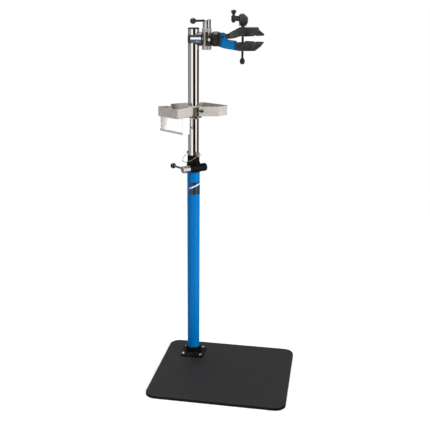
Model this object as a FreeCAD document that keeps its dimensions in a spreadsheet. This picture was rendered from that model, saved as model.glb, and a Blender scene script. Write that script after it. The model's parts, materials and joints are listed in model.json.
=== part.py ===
import FreeCAD, Part
import math
import os
import re
import Sketcher
from FreeCAD import Placement, Rotation, Vector

# Bike repair stand. Millimetres, +Z up. The origin is on the column's axis at floor level, +X runs
# along the clamp arm and the base plate's long side, and +Y points to the back.

SIZES = {
    # base plate and flange
    "plate_left": 139, "plate_right": 501, "plate_front": 471, "plate_back": 129,
    "plate_thick": 12.7, "plate_corner": 50, "flange_half": 56.3, "flange_thick": 8,
    "socket_r": 38, "socket_top": 54, "bolt_offset": 43.5, "bolt_r": 5,
    # columns
    "tube_r": 30.15, "tube_wall": 3.9, "tube_top": 985, "mast_r": 25.4, "mast_wall": 3,
    "mast_low": 560, "mast_top": 1616, "run_gap": 0.05, "part_gap": 0.3,
    # height collar and its lock
    "collar_low": 957, "collar_mid": 1003, "collar_top": 1038.5, "collar_r": 32, "neck_r": 28.5,
    "lock_z": 981, "lock_offset": 36, "lock_boss_r": 19, "lock_bore_r": 12, "lock_bolt_r": 4,
    "boss_short": 48.5, "boss_long": 44, "hub_r": 17, "hub_long": 38, "lever_reach": 107,
    "rod_r": 5, "ball_r": 13.5, "head_lever_azimuth": 246,
    # safety pin and its wire keeper
    "pin_z": 1044, "pin_r": 5, "pin_step": 100, "wire_r": 1.6, "bail_long": 42.5, "bail_deep": 62,
    # head
    "head_z": 1573, "head_r": 31, "head_left": 24, "head_wall": 4, "head_right": 41, "shaft_r": 15,
    "barrel_x": 61, "barrel_r": 21.5, "barrel_half": 48, "sleeve_half": 31, "sleeve_left": 59,
    "sleeve_neck_r": 22, "sleeve_right": 84, "sleeve_deep": 50, "head_hub_r": 18.5,
    "head_hub_tall": 38, "neck_collar_r": 33, "neck_collar_right": 119,
    # clamp jaws
    "pivot_x": 138, "pivot_z": 1583, "screw_x": 225, "screw_r": 5.5, "nut_z": 1543,
    "trunnion_z": 1608, "trunnion_r": 10, "arm_half": 15, "tongue_half": 7, "jaw_half": 16,
    "jaw_x": 243, "lower_pin_x": 203.5, "upper_pin_x": 252, "upper_pin_z": 1607,
    "screw_low": 1484, "crank_x": 182.5, "crank_low": 1648, "crank_high": 1676,
    # tool tray
    "tray_low": 1225, "tray_top": 1270, "tray_wall": 2, "tray_corner": 12, "notch_corner": 4, "liner_r": 28.4,
    "clamp_ring_r": 33, "tray_screw_z": 1250, "tray_screw_azimuth": -40, "ring_knob_azimuth": -62,
    # tray's outline seen from above, anticlockwise from the corner nearest the viewer
    "left_front_x": -38, "left_front_y": -155, "notch_left_x": 8, "notch_left_y": -19,
    "notch_back_x": 30, "notch_back_y": -8, "notch_right_x": 30, "notch_right_y": -34,
    "right_front_x": 126, "right_front_y": -14, "right_tip_x": 156, "right_tip_y": 44,
    "back_right_x": 26, "back_right_y": 144, "back_left_x": -78, "back_left_y": 96,
    "shoulder_x": -120, "shoulder_y": 44, "step_x": -96, "step_y": -40,
    "finger_back_x": -128, "finger_back_y": -28, "finger_tip_x": -165, "finger_tip_y": -50,
    # towel holder under the tray's left arm, in a frame turned to that arm
    "holder_azimuth": -130, "outer_reach": 92, "outer_side": -84, "outer_low": 1157,
    "inner_reach": 67, "inner_side": 50, "inner_low": 1150, "holder_long": 38,
}
FUNCTIONS = {"sin", "cos", "tan", "sqrt", "pi"}

os.makedirs("parts", exist_ok=True)
doc = FreeCAD.newDocument("repair_stand")
sheet = doc.addObject("Spreadsheet::Sheet", "Sizes")
for row, (alias, number) in enumerate(SIZES.items(), start=1):
    sheet.set(f"A{row}", alias)
    sheet.set(f"B{row}", str(number))
    sheet.setAlias(f"B{row}", alias)
doc.recompute()

sub_parts = []


def named(expression):
    """The expression with each size's name prefixed by its sheet, for use in another object."""
    text = str(expression)
    return re.sub(r"[a-z]\w*", lambda m: m[0] if m[0] in FUNCTIONS else "Sizes." + m[0], text)


def value(expression):
    """The number, in millimetres or degrees, that an expression of sheet sizes has."""
    return float(sheet.evalExpression(str(expression)))


def keep(feature, label):
    """Mark a feature as a sub-part: its label is the name of its node."""
    feature.Label = label
    sub_parts.append(feature)
    return feature


# ---------------------------------------------------------------- sketch and body helpers

def new_sketch(body, role, name):
    sketch = body.newObject("Sketcher::SketchObject", name)
    plane = [item for item in body.Origin.OriginFeatures if item.Role == role][0]
    sketch.AttachmentSupport = [(plane, "")]
    sketch.MapMode = "FlatFace"
    return sketch


def draw_outline(sketch, points):
    """A closed outline of straight runs whose corners are bound to expressions."""
    first = sketch.GeometryCount
    places = [Vector(value(x), value(y), 0) for x, y in points]
    for start, end in zip(places, places[1:] + places[:1]):
        sketch.addGeometry(Part.LineSegment(start, end), False)
    for step, (x, y) in enumerate(points):
        line = first + step
        after = first + (step + 1) % len(points)
        sketch.addConstraint(Sketcher.Constraint("Coincident", line, 2, after, 1))
        for kind, expression in (("DistanceX", x), ("DistanceY", y)):
            rule = Sketcher.Constraint(kind, -1, 1, line, 1, value(expression))
            sketch.setExpression(f"Constraints[{sketch.addConstraint(rule)}]", named(expression))


def draw_circle(sketch, x, y, radius):
    centre = Vector(value(x), value(y), 0)
    circle = sketch.addGeometry(Part.Circle(centre, Vector(0, 0, 1), value(radius)), False)
    rule = Sketcher.Constraint("Radius", circle, value(radius))
    sketch.setExpression(f"Constraints[{sketch.addConstraint(rule)}]", named(radius))
    for kind, expression in (("DistanceX", x), ("DistanceY", y)):
        rule = Sketcher.Constraint(kind, -1, 1, circle, 3, value(expression))
        sketch.setExpression(f"Constraints[{sketch.addConstraint(rule)}]", named(expression))


def bind_base(feature, x="0", y="0", z="0"):
    """Place a feature at a point given by expressions; its rotation stays."""
    for axis, expression in (("x", x), ("y", y), ("z", z)):
        feature.setExpression(f"Placement.Base.{axis}", named(expression))


def new_body(name):
    return doc.addObject("PartDesign::Body", name)


def pad(body, role, points, length, circles=()):
    """Pad an outline equally to both sides of one of the body's planes."""
    sketch = new_sketch(body, role, body.Name + "_outline")
    if points:
        draw_outline(sketch, points)
    for circle in circles:
        draw_circle(sketch, *circle)
    feature = body.newObject("PartDesign::Pad", body.Name + "_pad")
    feature.Profile = sketch
    feature.Midplane = True
    feature.setExpression("Length", named(length))
    doc.recompute()
    return feature


def pocket(body, role, points, length, circles=()):
    """Cut an outline through the body, equally to both sides of one of its planes."""
    before = body.Shape.Volume
    sketch = new_sketch(body, role, body.Name + "_cut")
    if points:
        draw_outline(sketch, points)
    for circle in circles:
        draw_circle(sketch, *circle)
    feature = body.newObject("PartDesign::Pocket", body.Name + "_pocket")
    feature.Profile = sketch
    feature.Midplane = True
    feature.setExpression("Length", named(length))
    doc.recompute()
    if body.Shape.Volume > before - 1:
        raise ValueError(f"pocket in {body.Name} cuts nothing")
    return feature


def turn(name, points):
    """A body turned about its own Z axis from corners given as radius and height."""
    body = new_body(name)
    sketch = new_sketch(body, "XZ_Plane", name + "_outline")
    draw_outline(sketch, points)
    feature = body.newObject("PartDesign::Revolution", name + "_turn")
    feature.Profile = sketch
    feature.ReferenceAxis = (sketch, ["V_Axis"])
    feature.Angle = 360
    doc.recompute()
    return body


def round_edges(body, test, radius, kind="PartDesign::Fillet"):
    """Fillet or chamfer the edges of the body's tip that pass a test."""
    tip = body.Tip
    names = [f"Edge{i}" for i, edge in enumerate(tip.Shape.Edges, start=1) if test(edge)]
    if not names:
        raise ValueError(f"no edge of {body.Name} passes the test")
    feature = body.newObject(kind, body.Name + "_edges")
    feature.Base = (tip, names)
    size = "Radius" if kind.endswith("Fillet") else "Size"
    feature.setExpression(size, named(radius))
    doc.recompute()
    return feature


def runs_along(edge, axis):
    """True for a straight edge along a unit axis."""
    if not isinstance(edge.Curve, Part.Line):
        return False
    return abs(abs(edge.Curve.Direction.dot(axis)) - 1) < 1e-6


def is_level(edge, height):
    """True for an edge that lies wholly at one height of the body's own frame."""
    box = edge.BoundBox
    return abs(box.ZMin - height) < 1e-3 and abs(box.ZMax - height) < 1e-3


# ---------------------------------------------------------------- primitive and boolean helpers

def cylinder(name, radius, length, x="0", y="0", z="0", turned=None):
    feature = doc.addObject("Part::Cylinder", name)
    feature.setExpression("Radius", named(radius))
    feature.setExpression("Height", named(length))
    if turned:
        feature.Placement = Placement(Vector(), turned)
    bind_base(feature, x, y, z)
    return feature


def box(name, length, width, height, x="0", y="0", z="0"):
    feature = doc.addObject("Part::Box", name)
    for side, expression in (("Length", length), ("Width", width), ("Height", height)):
        feature.setExpression(side, named(expression))
    bind_base(feature, x, y, z)
    return feature


def cut(name, base, *tools):
    for step, tool in enumerate(tools):
        feature = doc.addObject("Part::Cut", f"{name}_cut{step}")
        feature.Base = base
        feature.Tool = tool
        base = feature
    return base


def fuse(name, *pieces):
    feature = doc.addObject("Part::MultiFuse", name + "_fuse")
    feature.Shapes = list(pieces)
    return feature


ALONG_X = Rotation(Vector(0, 1, 0), 90)
ALONG_Y = Rotation(Vector(1, 0, 0), -90)


def outward(azimuth):
    """The turn that lays Z level, pointing away from the column at an azimuth."""
    angle = math.radians(value(azimuth))
    return Rotation(Vector(0, 0, 1), Vector(math.cos(angle), math.sin(angle), 0))


def about(x, z, steps):
    """Corners of a side view, each given by its steps along X and Z from a named point."""
    return [(f"{x} + {across}", f"{z} + {up}") for across, up in steps]


# The height lock has a frame of its own: its X runs along the cross boss towards the plain end, its
# Y towards the back, turned 45 degrees from the stand's axes.
LOCK_TURN = Rotation(Vector(0, 0, 1), 45)


def lock_body(body):
    """Stand a body modelled about Z on the height lock's axis, its Z towards the lever end."""
    body.Placement = Placement(Vector(), LOCK_TURN * Rotation(Vector(0, 1, 0), -90))
    bind_base(body, "lock_offset * sin(45)", "-lock_offset * cos(45)", "lock_z")
    return body


# ---------------------------------------------------------------- base

def make_base_plate():
    body = new_body("base_plate")
    corners = [("-plate_left", "-plate_front"), ("plate_right", "-plate_front"),
               ("plate_right", "plate_back"), ("-plate_left", "plate_back")]
    pad(body, "XY_Plane", corners, "plate_thick")
    bind_base(body, z="plate_thick / 2")
    round_edges(body, lambda edge: runs_along(edge, Vector(0, 0, 1)), "plate_corner")
    round_edges(body, lambda edge: is_level(edge, value("plate_thick / 2")), "2")
    holes = [(x, y, "bolt_r") for x in ("-bolt_offset", "bolt_offset")
             for y in ("-bolt_offset", "bolt_offset")]
    pocket(body, "XY_Plane", [], "2 * plate_thick", holes)
    keep(body, "base_plate")


def make_flange():
    half = "flange_half"
    body = new_body("flange")
    corners = [("-" + half, "-" + half), (half, "-" + half), (half, half), ("-" + half, half)]
    pad(body, "XY_Plane", corners, "flange_thick")
    bind_base(body, z="plate_thick + flange_thick / 2")
    round_edges(body, lambda edge: runs_along(edge, Vector(0, 0, 1)), "9")
    round_edges(body, lambda edge: is_level(edge, value("flange_thick / 2")), "1")
    low = "-flange_thick / 2"
    high = "socket_top - plate_thick - flange_thick / 2"
    sketch = new_sketch(body, "XZ_Plane", "socket_outline")
    draw_outline(sketch, [("tube_r - 1", low), ("socket_r + 9", low), ("socket_r + 9", "flange_thick / 2"),
                          ("socket_r", "flange_thick / 2 + 9"), ("socket_r", high + " - 2"),
                          ("socket_r - 2", high), ("tube_r - 1", high)])
    socket = body.newObject("PartDesign::Revolution", "socket")
    socket.Profile = sketch
    socket.ReferenceAxis = (sketch, ["V_Axis"])
    doc.recompute()
    pocket(body, "XY_Plane", [], "3 * socket_top", [("0", "0", "tube_r")])
    holes = [(x, y, "bolt_r + 0.5") for x in ("-bolt_offset", "bolt_offset")
             for y in ("-bolt_offset", "bolt_offset")]
    pocket(body, "XY_Plane", [], "3 * flange_thick", holes)
    keep(body, "flange")


def bolt_shape(shank_r, shank_long, head_r, head_tall, socket_r):
    """A socket-head screw with its shank below Z 0 and its head above."""
    shank = Part.makeCylinder(shank_r, shank_long, Vector(0, 0, -shank_long))
    head = Part.makeCylinder(head_r, head_tall)
    head = head.makeFillet(head_tall * 0.2, [edge for edge in head.Edges if is_level(edge, head_tall)])
    corners = [Vector(socket_r * math.cos(a), socket_r * math.sin(a), head_tall * 0.4)
               for a in [math.radians(60 * i) for i in range(7)]]
    key = Part.Face(Part.makePolygon(corners)).extrude(Vector(0, 0, head_tall))
    return shank.fuse(head).removeSplitter().cut(key)


def make_screws(label, shape, places):
    """One node that holds a copy of a screw at each of its places."""
    copies = []
    for place in places:
        copy = shape.copy()
        copy.Placement = place
        copies.append(copy)
    feature = doc.addObject("Part::Feature", label)
    feature.Shape = Part.makeCompound(copies)
    keep(feature, label)


def make_flange_bolts():
    offset = value("bolt_offset")
    height = value("plate_thick + flange_thick")
    places = [Placement(Vector(x, y, height), Rotation())
              for x in (-offset, offset) for y in (-offset, offset)]
    shape = bolt_shape(value("bolt_r - run_gap"), 20, 8.5, 6.5, 4)
    make_screws("flange_bolts", shape, places)


# ---------------------------------------------------------------- columns

def make_lower_tube():
    inner = "tube_r - tube_wall"
    body = turn("lower_tube", [(inner, "plate_thick"), ("tube_r", "plate_thick"), ("tube_r", "tube_top"),
                               (inner, "tube_top")])
    keep(body, "lower_tube")


def make_skin(label, radius, height, sector, turned, x="0", y="0", z="0"):
    """A thin label wrapped part of the way round a cylinder, clear of the mast."""
    outer = cylinder(label + "_outer", radius + " + 0.3", height, x, y, z, turned)
    outer.Angle = sector
    inner = cylinder(label + "_inner", radius, height, x, y, z, turned)
    mast = cylinder(label + "_mast", "mast_r + part_gap", "200", z=f"({z}) - 100")
    keep(cut(label, outer, inner, mast), label)


def make_decals():
    make_skin("tube_decal", "tube_r", "60", 150, Rotation(Vector(0, 0, 1), -140), z="849")
    turned = ALONG_X * Rotation(Vector(0, 0, 1), -126)
    make_skin("head_decal", "head_r", "head_right + 7", 72, turned, "-8", "0", "head_z")


def make_mast():
    """The chrome tube, with a hole for the clamp's shaft and three for the safety pin."""
    inner = "mast_r - mast_wall"
    body = turn("mast_pipe", [(inner, "mast_low"), ("mast_r", "mast_low"), ("mast_r", "mast_top"),
                              (inner, "mast_top")])
    shaft = cylinder("mast_shaft_hole", "shaft_r + 1", "40", "0", "0", "head_z", ALONG_X)
    holes = [cylinder(f"mast_pin_hole{i}", "pin_r", "80", "-40 * sin(45)", "40 * cos(45)",
                      f"pin_z - {i} * pin_step", LOCK_TURN * Rotation(Vector(1, 0, 0), 90))
             for i in range(3)]
    keep(cut("mast", body, shaft, *holes), "mast")


def make_mast_fittings():
    inner = "mast_r - mast_wall - run_gap"
    cap = turn("mast_cap", [("0", "mast_top - 9"), (inner, "mast_top - 9"), (inner, "mast_top"),
                            ("mast_r + 0.6", "mast_top"), ("mast_r + 0.6", "mast_top + 4"),
                            ("mast_r - 2", "mast_top + 7"), ("0", "mast_top + 7")])
    keep(cap, "mast_cap")
    bore = "tube_r - tube_wall"
    low = "collar_low - 150"
    liner = turn("guide_liner", [("mast_r + run_gap", low), (bore + " - run_gap", low),
                                 (bore + " - run_gap", "tube_top"), ("mast_r + run_gap", "tube_top")])
    keep(liner, "guide_liner")


# ---------------------------------------------------------------- height collar and lock

def make_height_collar():
    body = turn("collar_casting", [
        ("mast_r + run_gap", "collar_low"), ("collar_r", "collar_low"), ("collar_r", "collar_mid - 3"),
        ("collar_r - 1", "collar_mid"), ("neck_r", "collar_mid + 4"), ("neck_r", "collar_top - 1.5"),
        ("neck_r - 1.5", "collar_top"), ("mast_r + run_gap", "collar_top")])
    boss = turn("collar_boss", [
        ("0", "-boss_long"), ("lock_boss_r - 2", "-boss_long"), ("lock_boss_r", "2 - boss_long"),
        ("lock_boss_r", "boss_short"), ("0", "boss_short")])
    lock_body(boss)
    seat = cylinder("collar_seat", "tube_r + run_gap", "tube_top - collar_low", z="collar_low")
    mast = cylinder("collar_mast", "mast_r + run_gap", "120", z="collar_low - 20")
    bore = turn("collar_bore", [("0", "6 - boss_long"), ("lock_bore_r", "6 - boss_long"),
                                ("lock_bore_r", "boss_short + 1"), ("0", "boss_short + 1")])
    lock_body(bore)
    bolt = turn("collar_bolt_hole", [("0", "-boss_long - 1"), ("lock_bolt_r", "-boss_long - 1"),
                                     ("lock_bolt_r", "0"), ("0", "0")])
    lock_body(bolt)
    keep(cut("height_collar", fuse("collar", body, boss), seat, mast, bore, bolt), "height_collar")


def make_lock_plug(label, near, far):
    """A round wedge in the boss, hollowed where it bears on the mast, with a hole for the bolt."""
    body = turn(label + "_round", [("lock_bolt_r + run_gap", near), ("lock_bore_r - run_gap", near),
                                   ("lock_bore_r - run_gap", far), ("lock_bolt_r + run_gap", far)])
    lock_body(body)
    mast = cylinder(label + "_mast", "tube_r + run_gap + part_gap", "60", z="lock_z - 30")
    keep(cut(label, body, mast), label)


def make_height_lock():
    make_lock_plug("fixed_plug", "7 - boss_long", "-4")
    make_lock_plug("sliding_plug", "4", "boss_short - 2")
    tail = "boss_short + hub_long - 8"
    bolt = turn("lock_bolt", [("0", "-boss_long - 5"), ("8", "-boss_long - 5"), ("8", "-boss_long"),
                              ("lock_bolt_r - run_gap", "-boss_long"), ("lock_bolt_r - run_gap", tail),
                              ("0", tail)])
    lock_body(bolt)
    keep(bolt, "lock_bolt")
    low = "boss_short + part_gap"
    top = "boss_short + hub_long"
    bore = "lock_bolt_r + run_gap"
    hub = turn("height_lever_hub_round", [
        (bore, low), ("hub_r - 2", low), ("hub_r", low + " + 2"), ("hub_r", top + " - 3"),
        ("hub_r - 3", top), ("0", top), ("0", top + " - 6"), (bore, top + " - 6")])
    lock_body(hub)
    back = LOCK_TURN * Rotation(Vector(1, 0, 0), -90)
    middle = "boss_short + hub_long * 0.55"
    x = f"lock_offset * sin(45) - ({middle}) * cos(45)"
    y = f"-lock_offset * cos(45) - ({middle}) * sin(45)"
    hole = cylinder("height_rod_hole", "rod_r + run_gap", "hub_r + 2",
                    x + " - 8 * sin(45)", y + " + 8 * cos(45)", "lock_z", back)
    keep(cut("height_lever_hub", hub, hole), "height_lever_hub")
    make_lever("height", x, y, "lock_z", back)


def make_lever(prefix, x, y, z, turned):
    """A lever's rod and ball, from a point on the hub's axis outwards along the turned Z."""
    direction = turned.multVec(Vector(0, 0, 1))
    rod = turn(prefix + "_lever_rod", [("0", "8"), ("rod_r", "8"), ("rod_r", "lever_reach - 4"),
                                       ("0", "lever_reach - 4")])
    rod.Placement = Placement(Vector(), turned)
    bind_base(rod, x, y, z)
    keep(rod, prefix + "_lever_rod")
    ball = doc.addObject("Part::Sphere", prefix + "_lever_sphere")
    ball.setExpression("Radius", "Sizes.ball_r")
    for axis, part in (("x", x), ("y", y), ("z", z)):
        reach = getattr(direction, axis)
        ball.setExpression(f"Placement.Base.{axis}", named(f"{part} + lever_reach * {reach:.6f}"))
    socket = cylinder(prefix + "_ball_socket", "rod_r + run_gap", "lever_reach - 4", x, y, z, turned)
    keep(cut(prefix + "_lever_ball", ball, socket), prefix + "_lever_ball")


def make_safety_pin():
    front = LOCK_TURN * Rotation(Vector(1, 0, 0), 90)
    pin = turn("safety_pin", [("0", "-51"), ("pin_r - 1.5", "-51"), ("pin_r - run_gap", "-49"),
                              ("pin_r - run_gap", "36"), ("8", "36"), ("8", "47"), ("0", "47")])
    pin.Placement = Placement(Vector(), front)
    bind_base(pin, z="pin_z")
    keep(pin, "safety_pin")


def make_pin_keeper():
    """A wire bail, a U with a small eye at each end: one round the pin's head, one round its tip."""
    half, deep, wire = value("bail_long"), value("bail_deep"), value("wire_r")
    leg = deep - half
    near, far = Vector(0, half, 0), Vector(0, -half, 0)
    bend_near, bend_far = Vector(leg, half, 0), Vector(leg, -half, 0)
    path = Part.Wire([Part.LineSegment(near, bend_near).toShape(),
                      Part.Arc(bend_near, Vector(deep, 0, 0), bend_far).toShape(),
                      Part.LineSegment(bend_far, far).toShape()])
    solid = path.makePipeShell([Part.Wire(Part.makeCircle(wire, near, Vector(1, 0, 0)))], True, True)
    for middle, radius in ((near, value("8 + part_gap")), (far, value("pin_r + part_gap"))):
        core = Part.makeCylinder(radius + wire / 2, 8, middle - Vector(0, 4, 0), Vector(0, 1, 0))
        eye = Part.makeTorus(radius + wire, wire, middle, Vector(0, 1, 0))
        solid = solid.cut(core).fuse(eye)
    keeper = doc.addObject("Part::Feature", "pin_keeper")
    keeper.Shape = solid
    hanging = Rotation(Vector(0, 0, 1), 180) * Rotation(Vector(0, 1, 0), 35)
    middle = LOCK_TURN.multVec(Vector(0, 2.5, 0))
    keeper.Placement = Placement(middle + Vector(0, 0, value("pin_z")), LOCK_TURN * hanging)
    keep(keeper, "pin_keeper")


# ---------------------------------------------------------------- head

def make_head_tube():
    """The tube that crosses the mast, its left end domed and its right end closed round the shaft."""
    outer = turn("head_outer", [("0", "-head_left"), ("head_r", "-head_left"), ("head_r", "head_right"),
                                ("0", "head_right")])
    left = value("-head_left")
    round_edges(outer, lambda edge: is_level(edge, left) and edge.BoundBox.XLength > 1, "head_r / 2")
    inner = turn("head_inner", [("0", "10 - head_left"), ("head_r - head_wall", "10 - head_left"),
                                ("head_r - head_wall", "head_right - 5"), ("0", "head_right - 5")])
    for body in (outer, inner):
        body.Placement = Placement(Vector(), ALONG_X)
        bind_base(body, z="head_z")
    mast = cylinder("head_mast", "mast_r + run_gap", "100", "0", "0", "head_z - 50")
    shaft = cylinder("head_shaft", "shaft_r + run_gap", "60", "0", "0", "head_z", ALONG_X)
    barrel = cylinder("head_barrel", "barrel_r + run_gap", "100", "barrel_x", "0", "head_z - 50")
    keep(cut("head_tube", outer, inner, mast, shaft, barrel), "head_tube")


def make_lock_barrel():
    round_part = turn("barrel_round", [
        ("0", "-barrel_half"), ("barrel_r - 1.5", "-barrel_half"), ("barrel_r", "1.5 - barrel_half"),
        ("barrel_r", "barrel_half - 1.5"), ("barrel_r - 1.5", "barrel_half"), ("0", "barrel_half")])
    bind_base(round_part, "barrel_x", "0", "head_z")
    bore = cylinder("barrel_bore", "shaft_r + run_gap", "60", "barrel_x - 30", "0", "head_z", ALONG_X)
    thread = cylinder("barrel_thread", "6 + run_gap", "barrel_half + 1", "barrel_x", "0", "head_z")
    keep(cut("lock_barrel", round_part, bore, thread), "lock_barrel")


def make_shaft_sleeve():
    """The black block on the barrel's right, stepped round the barrel's top, with a screw in each side."""
    low, high, step = "head_z - sleeve_half", "head_z + sleeve_half", "head_z + 14"
    block = slab("sleeve_block", [
        ("sleeve_left", low), ("sleeve_right", low), ("sleeve_right", step), ("sleeve_right - 12", step),
        ("sleeve_right - 12", high + " - 5"), ("sleeve_right - 16", high), ("sleeve_left", high)],
        "sleeve_deep")
    round_edges(block, lambda edge: runs_along(edge, Vector(1, 0, 0)), "5")
    neck = turn("sleeve_round", [
        ("shaft_r + run_gap", "sleeve_left"), ("sleeve_neck_r", "sleeve_left"),
        ("sleeve_neck_r", "sleeve_right"), ("shaft_r + run_gap", "sleeve_right")])
    neck.Placement = Placement(Vector(), ALONG_X)
    bind_base(neck, z="head_z")
    bore = cylinder("sleeve_bore", "shaft_r + run_gap", "60", "sleeve_left - 10", "0", "head_z", ALONG_X)
    barrel = cylinder("sleeve_barrel", "barrel_r + run_gap", "100", "barrel_x", "0", "head_z - 50")
    places = []
    for out in (Vector(0, -1, 0), Vector(0, 1, 0)):
        middle = Vector(value("sleeve_right - 7"), 0, value("head_z - 3")) + out * value("sleeve_deep / 2")
        places.append(Placement(middle, Rotation(Vector(0, 0, 1), out)))
    holes = []
    for number, place in enumerate(places):
        hole = doc.addObject("Part::Cylinder", f"sleeve_screw_hole{number}")
        hole.setExpression("Radius", "2.5 mm")
        hole.setExpression("Height", "10 mm")
        hole.Placement = place.multiply(Placement(Vector(0, 0, -5), Rotation()))
        holes.append(hole)
    keep(cut("shaft_sleeve", fuse("sleeve", neck, block), bore, barrel, *holes), "shaft_sleeve")
    make_screws("sleeve_screws", bolt_shape(2.45, 4.5, 6.3, 5, 3), places)


def make_head_lock():
    pad_low = "head_z + shaft_r + part_gap"
    keep(turn("brake_pad", [("0", pad_low), ("6 - run_gap", pad_low), ("6 - run_gap", pad_low + " + 8"),
                            ("0", pad_low + " + 8")]), "brake_pad")
    bind_base(doc.getObject("brake_pad"), "barrel_x")
    stem, low = pad_low + " + 9", "head_z + barrel_half + part_gap"
    top = low + " + head_hub_tall"
    hub = turn("head_hub_round", [
        ("0", stem), ("6 - run_gap", stem), ("6 - run_gap", low), ("head_hub_r - 1.5", low),
        ("head_hub_r", low + " + 1.5"), ("head_hub_r", top + " - 1.5"), ("head_hub_r - 1.5", top),
        ("0", top)])
    bind_base(hub, "barrel_x")
    turned = outward("head_lever_azimuth")
    rod_z = "head_z + 80"
    hole = cylinder("head_rod_hole", "rod_r + run_gap", "hub_r + 2",
                    "barrel_x + 8 * cos(head_lever_azimuth)", "8 * sin(head_lever_azimuth)", rod_z, turned)
    keep(cut("head_lever_hub", hub, hole), "head_lever_hub")
    make_lever("head", "barrel_x", "0", rod_z, turned)


def make_clamp_shaft():
    groove = "head_left + 20"
    shaft = turn("clamp_shaft", [
        ("0", "0"), ("shaft_r - 1", "0"), ("shaft_r", "1"), ("shaft_r", groove), ("shaft_r - 1", groove),
        ("shaft_r - 1", groove + " + 3"), ("shaft_r", groove + " + 3"),
        ("shaft_r", "neck_collar_right + head_left - 10"), ("0", "neck_collar_right + head_left - 10")])
    shaft.Placement = Placement(Vector(), ALONG_X)
    bind_base(shaft, "10 - head_left", "0", "head_z")
    keep(shaft, "clamp_shaft")
    clip = turn("shaft_clip", [("shaft_r - 1", "0.1"), ("shaft_r + 4", "0.1"), ("shaft_r + 4", "2.9"),
                               ("shaft_r - 1", "2.9")])
    clip.Placement = Placement(Vector(), ALONG_X)
    bind_base(clip, "30", "0", "head_z")
    keep(clip, "shaft_clip")
    low, top = "sleeve_right + part_gap", "neck_collar_right"
    bore = "shaft_r + run_gap"
    collar = turn("neck_collar", [
        (bore, low), ("neck_collar_r - 7", low), ("neck_collar_r - 2", low + " + 3"),
        ("neck_collar_r", low + " + 9"), ("neck_collar_r", top + " - 5"), ("neck_collar_r - 2", top),
        (bore, top)])
    collar.Placement = Placement(Vector(), ALONG_X)
    bind_base(collar, "0", "0", "head_z")
    keep(collar, "neck_collar")


# ---------------------------------------------------------------- clamp jaws

def across(name, radius, half, x, z):
    """A cylinder along Y, centred on the clamp's middle plane."""
    return cylinder(name, radius, f"2 * ({half})", x, f"-({half})", z, ALONG_Y)


def slab(name, points, width):
    """A piece of even width about the clamp's middle plane, from its side view."""
    body = new_body(name)
    pad(body, "XZ_Plane", points, width)
    return body


def side_recess(name, points, half, depth):
    """Two slabs that cut the same shallow recess into both sides of a jaw."""
    outer = slab(name + "_outline", points, f"2 * ({half}) + 4")
    core = box(name + "_core", "400", f"2 * (({half}) - {depth})", "400", "0",
               f"-(({half}) - {depth})", "head_z - 200")
    return cut(name, outer, core)


def make_pin(label, radius, half, x, z):
    """A plain pin with a low domed head at both ends."""
    shank = f"{radius} - run_gap"
    pin = turn(label, [("0", f"-({half}) - 2"), (f"{radius} + 1", f"-({half}) - 2"),
                       (f"{radius} + 2", f"-({half})"), (shank, f"-({half})"), (shank, half),
                       (f"{radius} + 2", half), (f"{radius} + 1", f"({half}) + 2"), ("0", f"({half}) + 2")])
    pin.Placement = Placement(Vector(), ALONG_Y)
    bind_base(pin, x, "0", z)
    keep(pin, label)


def make_lower_arm():
    """The fork on the neck collar, with a tongue at its end that fits into the lower jaw."""
    foot = [("neck_collar_right", "pivot_z + 18"), ("neck_collar_right", "pivot_z - 43")]
    arm = slab("lower_arm_body", foot + about("pivot_x", "pivot_z", [
        (7, -51), (58, -59), (58, -18), (26, -14.5), (14, -10.5), (9, -1), (6, 14), (0, 18)]),
        "2 * (arm_half + 2)")
    tongue = box("lower_arm_tongue", "16", "12", "24", "pivot_x + 57", "-6", "nut_z - 13")
    gap = slab("lower_arm_gap", about("pivot_x", "pivot_z", [(-14, -21), (26, -27), (62, -27), (62, 27),
                                                             (-14, 27)]), "2 * (tongue_half + part_gap)")
    hole = across("lower_arm_hole", "5", "30", "pivot_x", "pivot_z")
    pin = across("lower_tongue_hole", "4", "30", "lower_pin_x", "nut_z")
    keep(cut("lower_arm", fuse("lower_arm", arm, tongue), gap, hole, pin), "lower_arm")
    make_pin("pivot_pin", "5", "arm_half + 2", "pivot_x", "pivot_z")


def screw_slot(name, low, high):
    """The opening through a jaw in which the screw leans as the jaws open."""
    return box(name, "24", "17", f"({high}) - ({low})", "screw_x - 12", "-8.5", low)


def make_lower_jaw():
    jaw = slab("lower_jaw_body", about("screw_x", "nut_z", [
        (-28.7, -19), (-11, -22), (57, -21), (79, -4), (94, 14), (11, 18), (-28.7, 16)]), "2 * jaw_half")
    slot = box("lower_jaw_tongue_slot", "18", "12.6", "24.6", "lower_pin_x - 10.5", "-6.3", "nut_z - 13.3")
    opening = screw_slot("lower_jaw_slot", "nut_z - 43", "nut_z + 37")
    trunnion = across("lower_jaw_bore", "trunnion_r + run_gap", "30", "screw_x", "nut_z")
    pin = across("lower_jaw_pin_hole", "4", "30", "lower_pin_x", "nut_z")
    recess = side_recess("lower_jaw_recess", about("screw_x", "nut_z", [
        (21, -8), (29, -13), (55, -13), (67, -5), (75, 5), (65, 9), (31, 9), (21, 3)]), "jaw_half", 4)
    keep(cut("lower_jaw", jaw, slot, opening, trunnion, pin, recess), "lower_jaw")
    make_pin("lower_jaw_pin", "4", "jaw_half", "lower_pin_x", "nut_z")
    cushion = slab("lower_pad_body", about("screw_x", "nut_z", [
        (13, 18.1), (94, 14.1), (94, 18.1), (13, 22.1)]), "2 * jaw_half")
    groove = across("lower_pad_groove", "6", "30", "screw_x + 57", "nut_z + 23")
    keep(cut("lower_pad", cushion, groove), "lower_pad")


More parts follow.
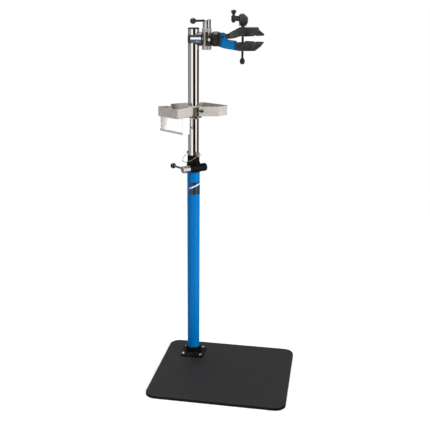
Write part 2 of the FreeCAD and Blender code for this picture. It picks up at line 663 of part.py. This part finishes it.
def make_upper_arm():
    """The arm that swings on the pivot pin: narrow between the fork's sides, full width in front."""
    rear = slab("upper_arm_rear", about("pivot_x", "pivot_z", [
        (-10, -6), (12, -9), (32, -9), (42, 17), (19, 14), (-10, 7)]), "2 * tongue_half")
    front = slab("upper_arm_front", about("screw_x", "trunnion_z", [
        (-57, -34), (-34, -31), (-12, -23), (18, -23), (18, 17), (-13, 17), (-26, 10), (-49, -2), (-59, -7)]),
        "2 * arm_half")
    boss = across("upper_arm_boss", "11", "tongue_half", "pivot_x", "pivot_z")
    tongue = box("upper_arm_tongue", "18", "12", "20", "jaw_x - 1", "-6", "upper_pin_z - 10")
    hole = across("upper_arm_hole", "5 + run_gap", "30", "pivot_x", "pivot_z")
    opening = screw_slot("upper_arm_slot", "trunnion_z - 38", "trunnion_z + 32")
    trunnion = across("upper_arm_bore", "trunnion_r + run_gap", "30", "screw_x", "trunnion_z")
    pin = across("upper_tongue_hole", "4", "30", "upper_pin_x", "upper_pin_z")
    whole = fuse("upper_arm", rear, front, boss, tongue)
    keep(cut("upper_arm", whole, hole, opening, trunnion, pin), "upper_arm")


def make_upper_jaw():
    jaw = slab("upper_jaw_body", about("jaw_x", "trunnion_z", [
        (0.1, -19.4), (77, -15), (77, -13), (55, 5), (50, 17), (0.1, 17)]), "2 * jaw_half")
    slot = box("upper_jaw_tongue_slot", "20", "12.6", "20.6", "jaw_x - 2", "-6.3", "upper_pin_z - 10.3")
    pin = across("upper_jaw_pin_hole", "4", "30", "upper_pin_x", "upper_pin_z")
    recess = side_recess("upper_jaw_recess", about("jaw_x", "trunnion_z", [
        (21, -6), (31, -10), (55, -9), (47, 3), (39, 8), (25, 6)]), "jaw_half", 4)
    keep(cut("upper_jaw", jaw, slot, pin, recess), "upper_jaw")
    make_pin("upper_jaw_pin", "4", "jaw_half", "upper_pin_x", "upper_pin_z")
    cushion = slab("upper_pad_body", about("jaw_x", "trunnion_z", [
        (-5, -23.7), (77, -19.1), (77, -15.1), (0.1, -19.5), (0.1, -23.1), (-5, -23.2)]), "2 * jaw_half")
    groove = across("upper_pad_groove", "6", "30", "jaw_x + 39", "trunnion_z - 23.8")
    keep(cut("upper_pad", cushion, groove), "upper_pad")


def make_trunnions():
    nut = across("nut_round", "trunnion_r", "jaw_half - 0.5", "screw_x", "nut_z")
    thread = cylinder("nut_thread", "screw_r + run_gap", "40", "screw_x", "0", "nut_z - 20")
    keep(cut("nut_trunnion", nut, thread), "nut_trunnion")
    bar = across("trunnion_round", "trunnion_r", "arm_half - 0.5", "screw_x", "trunnion_z")
    neck = cylinder("trunnion_neck", "8", "22", "screw_x", "0", "trunnion_z")
    bore = cylinder("trunnion_bore", "screw_r + 1.2", "60", "screw_x", "0", "trunnion_z - 30")
    keep(cut("upper_trunnion", fuse("upper_trunnion", bar, neck), bore), "upper_trunnion")


def make_screw():
    washer_low = "trunnion_z + 22.5"
    washer = turn("thrust_washer", [("screw_r + run_gap", washer_low), ("16", washer_low),
                                    ("17.5", washer_low + " + 1.5"), ("15", washer_low + " + 4"),
                                    ("screw_r + run_gap", washer_low + " + 4")])
    bind_base(washer, "screw_x")
    keep(washer, "thrust_washer")
    screw = turn("clamp_screw", [("0", "screw_low"), ("screw_r", "screw_low"),
                                 ("screw_r", "crank_low + 2"), ("0", "crank_low + 2")])
    bind_base(screw, "screw_x")
    keep(screw, "clamp_screw")
    stop = turn("screw_stop_round", about("0", "screw_low", [
        (0, -22.4), (6, -21.5), (10, -17), (11.8, -10), (11, -2), (6.5, 4.7), (0, 4.7)]))
    bind_base(stop, "screw_x")
    hole = cylinder("stop_hole", "screw_r", "20", "screw_x", "0", "screw_low")
    keep(cut("screw_stop", stop, hole), "screw_stop")


def make_crank():
    hub = slab("crank_hub", about("screw_x", "crank_low", [
        (-15, -13), (16, -13), (21.5, -2), (21.5, 19), (2, 36), (-12, 35), (-18, 27), (-17, 2)]), "30")
    round_edges(hub, lambda edge: abs(abs(edge.CenterOfMass.y) - 15) < 0.01, "5", "PartDesign::Chamfer")
    arm = box("crank_arm", "screw_x - crank_x - 8", "16", "crank_high - crank_low - 5", "crank_x", "-8",
              "crank_low + 3")
    boss = turn("crank_boss", [("0", "crank_low - 1"), ("6", "crank_low - 1"), ("10.5", "crank_low + 5"),
                               ("10.5", "crank_high - 4"), ("8", "crank_high"), ("0", "crank_high")])
    bind_base(boss, "crank_x")
    screw = cylinder("crank_screw_hole", "screw_r", "50", "screw_x", "0", "crank_low - 48")
    hole = cylinder("crank_knob_hole", "4", "60", "crank_x", "0", "crank_low - 20")
    keep(cut("crank", fuse("crank", hub, arm, boss), screw, hole), "crank")
    low = "crank_high + part_gap"
    knob = turn("crank_knob", [("4 + run_gap", low), ("4 + run_gap", low + " + 23.7")] + about("0", low, [
        (5, 23.7), (9, 22.5), (11.6, 19), (11.6, 12.5), (8.5, 9), (6.2, 6), (6.2, 0)]))
    bind_base(knob, "crank_x")
    keep(knob, "crank_knob")
    bolt = turn("knob_bolt", [("0", "crank_low - 4"), ("5", "crank_low - 4"), ("5", "crank_low - 1"),
                              ("4 - run_gap", "crank_low - 1"), ("4 - run_gap", low + " + 23"),
                              ("0", low + " + 23")])
    bind_base(bolt, "crank_x")
    keep(bolt, "knob_bolt")


# ---------------------------------------------------------------- tool tray

TRAY_CORNERS = ("left_front", "notch_left", "notch_back", "notch_right", "right_front", "right_tip",
                "back_right", "back_left", "shoulder", "step", "finger_back", "finger_tip")


def near_ring(edge):
    """True for an upright edge at the notch in which the tray's ring shows."""
    return math.hypot(edge.CenterOfMass.x, edge.CenterOfMass.y) < value("clamp_ring_r") + 20


def make_tray():
    """One sheet dish with an arm to each side of the column; between them its front wall is open."""
    outline = [(corner + "_x", corner + "_y") for corner in TRAY_CORNERS]
    body = new_body("tray_dish")
    pad(body, "XY_Plane", outline, "tray_top - tray_low")
    bind_base(body, z="(tray_top + tray_low) / 2")
    round_edges(body, lambda edge: runs_along(edge, Vector(0, 0, 1)) and not near_ring(edge),
                "tray_corner")
    round_edges(body, lambda edge: runs_along(edge, Vector(0, 0, 1)) and near_ring(edge), "notch_corner")
    round_edges(body, lambda edge: is_level(edge, value("(tray_low - tray_top) / 2")), "3")
    tip = body.Tip
    top = [f"Face{i}" for i, face in enumerate(tip.Shape.Faces, start=1)
           if face.BoundBox.ZMin > value("(tray_top - tray_low) / 2") - 0.01]
    shell = body.newObject("PartDesign::Thickness", "tray_shell")
    shell.Base = (tip, top)
    shell.Reversed = True
    shell.setExpression("Value", "Sizes.tray_wall")
    doc.recompute()
    column = cylinder("tray_column_hole", "clamp_ring_r", "tray_top - tray_low + 40", z="tray_low - 20")
    screw = radial("tray_screw_hole", "4.5", "40", "30")
    keep(cut("tray", body, column, screw), "tray")


def radial(name, radius, length, start):
    """A cylinder on the thumbscrew's axis, from a distance out from the column's axis."""
    return cylinder(name, radius, length, f"({start}) * cos(tray_screw_azimuth)",
                    f"({start}) * sin(tray_screw_azimuth)", "tray_screw_z", outward("tray_screw_azimuth"))


def make_tray_mount():
    rim_r = "liner_r + 3"
    liner = turn("tray_liner", [("mast_r + run_gap", "tray_low - 12"), (rim_r, "tray_low - 12"),
                                (rim_r, "tray_low - 9.3"), ("liner_r", "tray_low - 9.3"),
                                ("liner_r", "tray_top"), ("mast_r + run_gap", "tray_top")])
    keep(liner, "tray_liner")
    inner, outer, flange = "liner_r + run_gap", "clamp_ring_r - run_gap", "clamp_ring_r + 6"
    ring = turn("ring_round", [
        (inner, "tray_low - 9"), (flange, "tray_low - 9"), (flange, "tray_low"), (outer, "tray_low"),
        (outer, "tray_top - 6"), ("clamp_ring_r - 2", "tray_top - 4"), (inner, "tray_top - 4")])
    hole = radial("ring_screw_hole", "3.5 + run_gap", "30", "20")
    keep(cut("tray_ring", ring, hole), "tray_ring")
    stud = turn("tray_thumbscrew_round", [
        ("0", "liner_r + 0.5"), ("3.5", "liner_r + 0.5"), ("3.5", "55"), ("5", "55"), ("7", "57.5"),
        ("7", "65"), ("5.5", "68"), ("0", "68")])
    stud.Placement = Placement(Vector(), outward("tray_screw_azimuth"))
    bind_base(stud, z="tray_screw_z")
    keep(stud, "tray_thumbscrew")
    knob = turn("ring_knob", about("0", flange, [(0, 0), (3, 0), (3, 2), (6, 3), (5, 9), (0, 9)]))
    knob.Placement = Placement(Vector(), outward("ring_knob_azimuth"))
    bind_base(knob, z="tray_low - 6.5")
    keep(knob, "ring_knob")


def holder_point(reach, side):
    """A place at a reach along the tray's left arm and at a side of that arm's middle line."""
    turned = "holder_azimuth"
    x = f"({reach}) * cos({turned}) - ({side}) * sin({turned})"
    y = f"({reach}) * sin({turned}) + ({side}) * cos({turned})"
    return x, y


def holder_box(name, length, width, height, reach, side, low):
    """A box whose length runs along the arm and whose width runs across it."""
    feature = box(name, length, width, height)
    feature.Placement = Placement(Vector(), Rotation(Vector(0, 0, 1), value("holder_azimuth")))
    bind_base(feature, *holder_point(reach, side), low)
    return feature


def make_towel_holder():
    """Two hanging plates, the inner one longer, joined at their front lower corners by a sloping rail."""
    thick = "3"
    plates = []
    for label, inward, foot_start in (("outer", "0", "21"), ("inner", "-10", "0")):
        reach, side, low = label + "_reach", label + "_side", label + "_low"
        plate = holder_box(label + "_plate", "holder_long", thick, f"tray_low - {low}", reach, side, low)
        foot = holder_box(label + "_foot", f"holder_long - {foot_start}", "13", thick,
                          f"{reach} + {foot_start}", f"{side} + {inward}", f"tray_low - {thick}")
        keep(fuse("holder_" + label, plate, foot), "holder_" + label)
        plates.append(plate)
    ends = []
    for label, beyond in (("outer", "1"), ("inner", "7")):
        place = holder_point(f"{label}_reach + holder_long + 5", f"{label}_side + {beyond}")
        ends.append((*place, f"{label}_low"))
    start, end = (Vector(*(value(part) for part in point)) for point in ends)
    squares = [f"(({last}) - ({first})) ^ 2" for first, last in zip(*ends)]
    bar = box("holder_bar", "sqrt(" + " + ".join(squares) + ")", "5", "9")
    level = Vector(end.x - start.x, end.y - start.y, 0)
    slope = Rotation(Vector(0, 1, 0), math.degrees(math.atan2(start.z - end.z, level.Length)))
    bar.Placement = Placement(Vector(), Rotation(Vector(1, 0, 0), level) * slope)
    bind_base(bar, *ends[0])
    keep(cut("holder_rail", bar, *plates), "holder_rail")


make_base_plate()
make_flange()
make_flange_bolts()
make_lower_tube()
make_decals()
make_mast()
make_mast_fittings()
make_height_collar()
make_height_lock()
make_safety_pin()
make_pin_keeper()
make_head_tube()
make_lock_barrel()
make_shaft_sleeve()
make_head_lock()
make_clamp_shaft()
make_lower_arm()
make_lower_jaw()
make_upper_arm()
make_upper_jaw()
make_trunnions()
make_screw()
make_crank()
make_tray()
make_tray_mount()
make_towel_holder()


def check_and_export():
    doc.recompute()
    for item in doc.Objects:
        if "Invalid" in item.State or "Error" in item.State:
            raise ValueError(f"{item.Label} failed to recompute: {item.State}")
    for part in sub_parts:
        if part.Shape.isNull() or not part.Shape.isValid():
            raise ValueError(f"{part.Label} has no valid shape")
    for part in sub_parts:
        part.Shape.exportStep(f"parts/{part.Label}.step")
        print(f"{part.Label}: {part.Shape.Volume:.0f} mm3")


check_and_export()
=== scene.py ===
import json
import math

import bmesh
import bpy
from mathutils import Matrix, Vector


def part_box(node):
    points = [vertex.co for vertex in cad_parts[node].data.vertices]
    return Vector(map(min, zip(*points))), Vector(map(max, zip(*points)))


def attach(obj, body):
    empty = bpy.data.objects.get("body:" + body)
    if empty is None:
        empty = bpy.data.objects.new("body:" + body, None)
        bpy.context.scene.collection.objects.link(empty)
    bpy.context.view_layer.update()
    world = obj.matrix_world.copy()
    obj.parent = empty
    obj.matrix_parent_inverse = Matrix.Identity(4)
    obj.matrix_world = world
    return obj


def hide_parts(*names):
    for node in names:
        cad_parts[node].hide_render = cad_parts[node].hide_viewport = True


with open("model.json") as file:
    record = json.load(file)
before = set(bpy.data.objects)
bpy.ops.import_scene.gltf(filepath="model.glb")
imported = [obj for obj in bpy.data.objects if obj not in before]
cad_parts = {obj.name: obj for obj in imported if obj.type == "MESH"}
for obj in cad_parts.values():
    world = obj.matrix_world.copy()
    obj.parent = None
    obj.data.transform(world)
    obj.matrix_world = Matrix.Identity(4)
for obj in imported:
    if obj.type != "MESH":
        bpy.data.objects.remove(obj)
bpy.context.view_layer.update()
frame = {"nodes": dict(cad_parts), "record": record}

NODES = frame["nodes"]

INK = (0.012, 0.018, 0.04)
NEAR_BLACK = (0.01, 0.01, 0.012)
TUBE_BLUE = (0.0, 0.13, 0.4)
STRIPE_BLUE = (0.03, 0.16, 0.36)


# ---------------------------------------------------------------- materials

def node_of(tree, kind, **settings):
    """A new shader node with its own properties, or the values of its sockets, set."""
    node = tree.nodes.new(kind)
    for key, setting in settings.items():
        if hasattr(node, key):
            setattr(node, key, setting)
        else:
            node.inputs[key.replace("_", " ")].default_value = setting
    return node


def noise(tree, scale, detail=4.0, stretch=(1, 1, 1)):
    """Noise over the object's own coordinates, in metres, stretched along the axes given as small."""
    place = node_of(tree, "ShaderNodeTexCoord")
    mapping = node_of(tree, "ShaderNodeMapping")
    mapping.inputs["Scale"].default_value = stretch
    texture = node_of(tree, "ShaderNodeTexNoise")
    texture.inputs["Scale"].default_value = scale
    texture.inputs["Detail"].default_value = detail
    tree.links.new(place.outputs["Object"], mapping.inputs["Vector"])
    tree.links.new(mapping.outputs["Vector"], texture.inputs["Vector"])
    return texture.outputs["Fac"]


def ramp(tree, value, stops):
    """A colour ramp fed by a value; stops are (position, colour)."""
    node = node_of(tree, "ShaderNodeValToRGB")
    elements = node.color_ramp.elements
    while len(elements) < len(stops):
        elements.new(0.5)
    for element, (position, colour) in zip(elements, stops):
        element.position = position
        element.color = (*colour, 1)
    tree.links.new(value, node.inputs["Fac"])
    return node.outputs["Color"]


def spread(tree, value, low, high):
    """A 0..1 value mapped on to a range."""
    node = node_of(tree, "ShaderNodeMapRange")
    node.inputs["To Min"].default_value = low
    node.inputs["To Max"].default_value = high
    tree.links.new(value, node.inputs["Value"])
    return node.outputs["Result"]


def scaled(colour, share):
    return tuple(part * share for part in colour)


def bumped(tree, height, strength, distance, under):
    """A bump laid over another normal."""
    bump = node_of(tree, "ShaderNodeBump")
    bump.inputs["Strength"].default_value = strength
    bump.inputs["Distance"].default_value = distance
    tree.links.new(height, bump.inputs["Height"])
    tree.links.new(under, bump.inputs["Normal"])
    return bump.outputs["Normal"]


def surface(name, colour, rough, metal=0.0, coat=0.0, grain=0.1, grain_scale=900.0, lumps=0.0,
            tone=0.12, rough_spread=0.06, stretch=(1, 1, 1), patch_scale=35.0, ior=1.5, edge=0.0007):
    """A finish with patchy tone, uneven gloss, softened edges, cast lumps and a fine grain."""
    material = bpy.data.materials.new(name)
    material.use_nodes = True
    tree = material.node_tree
    shader = tree.nodes["Principled BSDF"]
    patches = noise(tree, patch_scale, 5.0, stretch)
    lighter = tuple(min(1, part * (1 + tone)) for part in colour)
    tones = ramp(tree, patches, [(0.3, scaled(colour, 1 - tone)), (0.7, lighter)])
    tree.links.new(tones, shader.inputs["Base Color"])
    gloss = noise(tree, patch_scale * 6, 6.0, stretch)
    tree.links.new(spread(tree, gloss, max(0.02, rough - rough_spread), rough + rough_spread),
                   shader.inputs["Roughness"])
    shader.inputs["Metallic"].default_value = metal
    shader.inputs["Coat Weight"].default_value = coat
    shader.inputs["Coat Roughness"].default_value = 0.08
    shader.inputs["IOR"].default_value = ior
    rounded = node_of(tree, "ShaderNodeBevel", samples=6)
    rounded.inputs["Radius"].default_value = edge
    normal = rounded.outputs["Normal"]
    if lumps:
        normal = bumped(tree, noise(tree, 130.0, 3.0), lumps, 0.0012, normal)
    normal = bumped(tree, noise(tree, grain_scale, 3.0, stretch), grain, 0.0003, normal)
    tree.links.new(normal, shader.inputs["Normal"])
    return material


def axis_value(tree, axis, low, high, turned=0.0):
    """0 at one place along an axis of the frame and 1 at another, after a turn about Z in radians."""
    place = node_of(tree, "ShaderNodeTexCoord")
    mapping = node_of(tree, "ShaderNodeMapping")
    mapping.inputs["Rotation"].default_value = (0, 0, turned)
    parts = node_of(tree, "ShaderNodeSeparateXYZ")
    tree.links.new(place.outputs["Object"], mapping.inputs["Vector"])
    tree.links.new(mapping.outputs["Vector"], parts.inputs["Vector"])
    node = node_of(tree, "ShaderNodeMapRange")
    node.inputs["From Min"].default_value = low
    node.inputs["From Max"].default_value = high
    tree.links.new(parts.outputs[axis], node.inputs["Value"])
    return node.outputs["Result"]


def hard_ramp(tree, value, stops):
    """Flat bands of colour with sharp borders; each starts at its position."""
    output = ramp(tree, value, stops)
    output.node.color_ramp.interpolation = "CONSTANT"
    return output


def mixed(tree, factor, first, second):
    """One colour where a factor is 0 and another where it is 1; each is a colour or an output."""
    node = node_of(tree, "ShaderNodeMix")
    node.data_type = "RGBA"
    tree.links.new(factor, node.inputs["Factor"])
    for socket, colour in ((node.inputs["A"], first), (node.inputs["B"], second)):
        if isinstance(colour, tuple):
            socket.default_value = (*colour, 1)
        else:
            tree.links.new(colour, socket)
    return node.outputs["Result"]


def combined(tree, operation, first, second):
    """Two values put together by a Math node's operation."""
    node = node_of(tree, "ShaderNodeMath", operation=operation)
    tree.links.new(first, node.inputs[0])
    tree.links.new(second, node.inputs[1])
    return node.outputs["Value"]


def between(tree, value, low, high):
    """1 where a value lies in a range and 0 elsewhere."""
    node = node_of(tree, "ShaderNodeMath", operation="COMPARE")
    node.inputs[1].default_value = (low + high) / 2
    node.inputs[2].default_value = (high - low) / 2
    tree.links.new(value, node.inputs[0])
    return node.outputs["Value"]


def label_material(name, paint):
    """Printed vinyl: paint(tree) gives its colour from plain bands and bars."""
    material = surface(name, INK, 0.3, coat=0.4, grain=0.03, grain_scale=1500, edge=0.0001)
    tree = material.node_tree
    tree.links.new(paint(tree), tree.nodes["Principled BSDF"].inputs["Base Color"])
    return material


def head_label(tree):
    """Black above, a white band with an uneven top edge, and dark blue with a light bar below."""
    low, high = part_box("head_decal")
    up = axis_value(tree, "Z", low.z, high.z)
    along = axis_value(tree, "X", low.x, high.x)
    under = hard_ramp(tree, up, [
        (0.0, (0.05, 0.075, 0.11)), (0.1, (0.02, 0.045, 0.1)), (0.4, (0.05, 0.12, 0.22)),
        (0.46, (0.8, 0.81, 0.83))])
    bar = combined(tree, "MULTIPLY", between(tree, along, 0.5, 0.78), between(tree, up, 0.2, 0.27))
    barred = mixed(tree, bar, under, (0.3, 0.38, 0.5))
    waves = spread(tree, noise(tree, 190.0, 1.0, (1, 0, 0)), -0.16, 0.16)
    wavy = combined(tree, "ADD", up, waves)
    return mixed(tree, between(tree, wavy, 0.7, 3.0), barred, NEAR_BLACK)


def tube_label(tree):
    """A blue margin, then dark blue with a slanting light stripe between two thin blue ones."""
    low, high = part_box("tube_decal")
    up = axis_value(tree, "Z", low.z, high.z)
    across = axis_value(tree, "X", -0.03, 0.03, math.radians(-11))
    slanted = combined(tree, "ADD", up, spread(tree, across, 0.21, -0.21))
    striped = hard_ramp(tree, slanted, [
        (0.0, INK), (0.55, STRIPE_BLUE), (0.595, (0.6, 0.68, 0.78)), (0.69, STRIPE_BLUE), (0.735, INK)])
    return mixed(tree, between(tree, across, -1.0, 0.16), striped, TUBE_BLUE)


def plate_finish():
    """Charcoal powder coat on top; its other faces get a near-black painted shade."""
    material = surface("base_powder_coat", (0.0125, 0.0118, 0.012), 0.5, grain=0.35, grain_scale=700,
                       tone=0.08, ior=1.26, edge=0.0012)
    tree = material.node_tree
    shader = tree.nodes["Principled BSDF"]
    top = shader.inputs["Base Color"].links[0].from_socket
    facing = node_of(tree, "ShaderNodeNewGeometry")
    parts = node_of(tree, "ShaderNodeSeparateXYZ")
    tree.links.new(facing.outputs["True Normal"], parts.inputs["Vector"])
    # Faces that don't point straight up are painted near-black: painted shade on the plate's edge and fillet.
    upward = between(tree, parts.outputs["Z"], 0.98, 1.02)
    tree.links.new(mixed(tree, upward, (0.002, 0.002, 0.002), top), shader.inputs["Base Color"])
    return material


def arm_finish():
    """Blue enamel on a forging, with painted shade darkening it where it runs in to the collar and the jaw.
    """
    material = surface("forging_blue", (0.0, 0.118, 0.33), 0.3, grain=0.25, grain_scale=350, lumps=0.35,
                       tone=0.12, ior=1.22, edge=0.003)
    tree = material.node_tree
    shader = tree.nodes["Principled BSDF"]
    paint = shader.inputs["Base Color"].links[0].from_socket
    low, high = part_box("lower_arm")
    along = axis_value(tree, "X", low.x, high.x)
    # Painted shade: the blue turns towards dark teal near both ends of the arm, at the collar and at the jaw.
    dark, clear = (0.75, 0.75, 0.75), (0, 0, 0)
    painted_shade = ramp(tree, along, [(0.05, dark), (0.24, clear), (0.7, clear), (0.84, dark)])
    tree.links.new(mixed(tree, painted_shade, paint, (0.0, 0.012, 0.022)), shader.inputs["Base Color"])
    return material


SURFACES = {
    "base_black": plate_finish(),
    "cast_black": surface("casting_enamel", (0.003, 0.0026, 0.0024), 0.3, grain=0.3, grain_scale=260,
                          lumps=0.3, tone=0.3, ior=1.24, edge=0.0012),
    "bolt_zinc": surface("zinc_plate", (0.7, 0.7, 0.68), 0.25, metal=1.0, grain_scale=1200),
    "tube_blue": surface("blue_gloss_paint", TUBE_BLUE, 0.2, grain=0.04, grain_scale=180,
                         tone=0.03, ior=1.2),
    "plug_steel": surface("machined_steel", (0.6, 0.6, 0.59), 0.3, metal=1.0, grain=0.15, stretch=(1, 1, 12)),
    "lever_silver": surface("plated_hub", (0.72, 0.73, 0.72), 0.24, metal=1.0, grain=0.01, tone=0.04,
                            rough_spread=0.03, edge=0.0016),
    "barrel_silver": surface("satin_plate", (0.62, 0.61, 0.59), 0.46, metal=0.85, grain=0.02,
                             grain_scale=600, tone=0.05, edge=0.0016),
    "rod_steel": surface("bright_steel", (0.42, 0.4, 0.37), 0.22, metal=1.0, grain=0.05),
    "ball_black": surface("black_phenolic", (0.008, 0.008, 0.009), 0.14, coat=0.5, tone=0.1,
                          grain=0.02),
    "mast_chrome": surface("polished_chrome", (0.82, 0.81, 0.79), 0.05, metal=1.0, rough_spread=0.02,
                           tone=0.02, grain=0.002, grain_scale=400, stretch=(1, 1, 0.05)),
    "cap_black": surface("moulded_cap", (0.012, 0.011, 0.011), 0.35, grain=0.3, grain_scale=1400),
    "liner_nylon": surface("natural_nylon", (0.7, 0.69, 0.63), 0.45),
    "brass_pad": surface("turned_brass", (0.6, 0.43, 0.17), 0.3, metal=1.0),
    "head_paint": surface("head_enamel", (0.012, 0.014, 0.02), 0.25, coat=0.5, grain_scale=200),
    "sleeve_black": surface("sleeve_enamel", (0.013, 0.0095, 0.0075), 0.3, grain=0.3, grain_scale=320,
                            lumps=0.4, tone=0.9, patch_scale=60, ior=1.34, edge=0.0016),
    "arm_blue": arm_finish(),
    # The jaws' strong lighter patches, laid at random over the black forging, are painted highlights.
    "jaw_black": surface("forging_black", (0.032, 0.031, 0.029), 0.26, grain=0.3, grain_scale=300,
                         lumps=0.9, tone=0.98, patch_scale=28, ior=1.36, edge=0.0026),
    "pad_rubber": surface("jaw_rubber", (0.014, 0.014, 0.014), 0.7, grain=0.5, grain_scale=1100,
                          tone=0.2, edge=0.001),
    "screw_black": surface("black_oxide", (0.03, 0.03, 0.031), 0.33, metal=0.6),
    "crank_black": surface("crank_enamel", (0.022, 0.021, 0.02), 0.24, grain=0.3, grain_scale=300,
                           lumps=0.7, tone=0.98, patch_scale=32, ior=1.36, edge=0.0024),
    "knob_plastic": surface("knob_plastic", (0.01, 0.01, 0.01), 0.25),
    "tray_grey": surface("tray_powder_coat", (0.41, 0.385, 0.36), 0.42, grain=0.3, tone=0.05,
                         coat=0.1, edge=0.001),
    "holder_cream": surface("holder_powder_coat", (0.82, 0.8, 0.76), 0.5, grain=0.05, tone=0.02),
    "rail_grey": surface("rail_powder_coat", (0.5, 0.5, 0.49), 0.45, grain=0.1, tone=0.05),
}
OWN_FINISH = {
    "head_decal": label_material("head_label", head_label),
    "tube_decal": label_material("tube_label", tube_label),
    "tray_ring": surface("ring_satin", (0.3, 0.27, 0.24), 0.35, metal=0.8, tone=0.06, edge=0.001),
}


def dress_cad_parts():
    """Every CAD part takes the surface of its slot, unless its node has a finish of its own."""
    slots = {part["node"]: part["material_slot"] for part in frame["record"]["subparts"]}
    for name, part in NODES.items():
        material = OWN_FINISH.get(name) or SURFACES[slots[name]]
        part.data.materials.clear()
        part.data.materials.append(material)


# ---------------------------------------------------------------- pieces that stand for CAD parts

def round_piece(name, node, body, heights, radius, segments):
    """A closed piece about a node's centre: a ring at each height, of radius(height, angle)."""
    low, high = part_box(node)
    middle = (low + high) / 2
    mesh = bpy.data.meshes.new(name)
    shape = bmesh.new()
    angles = [2 * math.pi * step / segments for step in range(segments)]
    loops = []
    for height in heights:
        loop = []
        for angle in angles:
            out = radius(height, angle)
            place = middle + Vector((out * math.cos(angle), out * math.sin(angle), height))
            loop.append(shape.verts.new(place))
        loops.append(loop)
    for lower, upper in zip(loops, loops[1:]):
        for step in range(segments):
            after = (step + 1) % segments
            shape.faces.new((lower[step], lower[after], upper[after], upper[step]))
    shape.faces.new(list(reversed(loops[0])))
    shape.faces.new(loops[-1])
    shape.to_mesh(mesh)
    shape.free()
    piece = bpy.data.objects.new(name, mesh)
    bpy.context.scene.collection.objects.link(piece)
    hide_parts(node)
    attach(piece, body)
    return piece


def dress(piece, slot_name):
    """Give a piece its slot's surface and smooth shading."""
    piece.data.materials.append(SURFACES[slot_name])
    for face in piece.data.polygons:
        face.use_smooth = True


def make_threaded_screw():
    """The clamp screw with its thread cut over its whole length."""
    low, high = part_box("clamp_screw")
    outer = (high.x - low.x) / 2
    half = (high.z - low.z) / 2
    depth, pitch, rings_per_turn = 0.0008, 0.003, 6
    steps = round(2 * half / (pitch / rings_per_turn))
    heights = [-half + 2 * half * step / steps for step in range(steps + 1)]

    def radius(height, angle):
        turn = (height / pitch - angle / (2 * math.pi)) % 1
        ends = min(1.0, (half - abs(height)) / pitch)
        return outer - depth * (1 - ends) - depth * abs(2 * turn - 1)

    piece = round_piece("threaded_screw", "clamp_screw", "screw", heights, radius, 32)
    dress(piece, "screw_black")


# ---------------------------------------------------------------- studio

def make_floor():
    """A pale matt floor a hair under the plate, which shiny pieces don't reflect."""
    half_size, below = 3, 0.0005
    mesh = bpy.data.meshes.new("floor")
    shape = bmesh.new()
    bmesh.ops.create_grid(shape, x_segments=2, y_segments=2, size=half_size)
    shape.to_mesh(mesh)
    shape.free()
    floor = bpy.data.objects.new("floor", mesh)
    floor.location.z = -below
    floor.visible_glossy = False
    bpy.context.scene.collection.objects.link(floor)
    finish = surface("pale_floor", (0.79, 0.79, 0.79), 0.8, tone=0.005, grain=0.02, ior=1.2)
    mesh.materials.append(finish)


def aim(lamp, name, place, target):
    """Hang a lamp at a place so that it shines at a target."""
    light = bpy.data.objects.new(name, lamp)
    light.location = place
    light.rotation_euler = (Vector(target) - Vector(place)).to_track_quat("-Z", "Y").to_euler()
    bpy.context.scene.collection.objects.link(light)
    return light


def make_soft_box(name, place, target, size, power):
    """A large soft lamp that lights the stand without showing in its chrome."""
    lamp = bpy.data.lights.new(name, "AREA")
    lamp.shape = "RECTANGLE"
    lamp.size, lamp.size_y = size
    lamp.energy = power
    aim(lamp, name, place, target).visible_glossy = False


def make_lights():
    """A strong soft light from the right, a weak one from the left and a broad one from above."""
    make_soft_box("key_right", (3.7, -1.7, 1.6), (0, 0, 1.1), (1.2, 2.4), 165)
    make_soft_box("fill_left", (-2.6, -2.4, 1.8), (0, 0, 0.9), (1.4, 2.6), 10)
    overhead = bpy.data.lights.new("overhead", "SUN")
    overhead.angle = math.radians(50)
    overhead.energy = 3.1
    aim(overhead, "overhead", (-1.1, 1.0, 4), (0, 0, 0))


def make_world():
    """A pale studio with tall dark gaps between its bright walls, which chrome shows as stripes."""
    world = bpy.data.worlds.new("studio")
    world.use_nodes = True
    bpy.context.scene.world = world
    tree = world.node_tree
    back = tree.nodes["Background"]
    place = node_of(tree, "ShaderNodeTexCoord")
    around = node_of(tree, "ShaderNodeTexGradient", gradient_type="RADIAL")
    tree.links.new(place.outputs["Generated"], around.inputs["Vector"])
    bright, gap = (1.15, 1.13, 1.1), (0.012, 0.008, 0.005)
    grey, dim, far = (0.36, 0.35, 0.34), (0.05, 0.046, 0.043), (0.2, 0.2, 0.2)
    camera_azimuth = -78.8
    walls = [(-150, far), (-105, far), (-80, grey), (-52, grey), (-44, bright), (-14, bright),
             (-9, gap), (37, gap), (44, bright), (72, bright), (79, dim), (130, dim), (150, far)]
    stops = [(((camera_azimuth + turn) / 360 + 0.5) % 1, colour) for turn, colour in walls]
    bands = ramp(tree, around.outputs["Fac"], sorted(stops))
    path = node_of(tree, "ShaderNodeLightPath")
    seen = mixed(tree, path.outputs["Is Camera Ray"], bands, (1.0, 1.0, 1.0))
    tree.links.new(seen, back.inputs["Color"])
    back.inputs["Strength"].default_value = 1.0


def make_camera():
    """The photo's point of view: a little above the clamp, looking down at the column."""
    pitch, heading = 15.56, 11.2
    camera = bpy.data.cameras.new("camera")
    camera.lens = 60.93
    camera.sensor_width = 36
    camera.shift_x = 0.05
    stand = bpy.data.objects.new("camera", camera)
    stand.location = (0.6612, -3.3393, 1.6889)
    stand.rotation_euler = (math.radians(90 - pitch), 0, math.radians(heading))
    bpy.context.scene.collection.objects.link(stand)
    bpy.context.scene.camera = stand


make_camera()
dress_cad_parts()
make_threaded_screw()
make_floor()
make_lights()
make_world()
bpy.context.scene.view_settings.view_transform = "Standard"
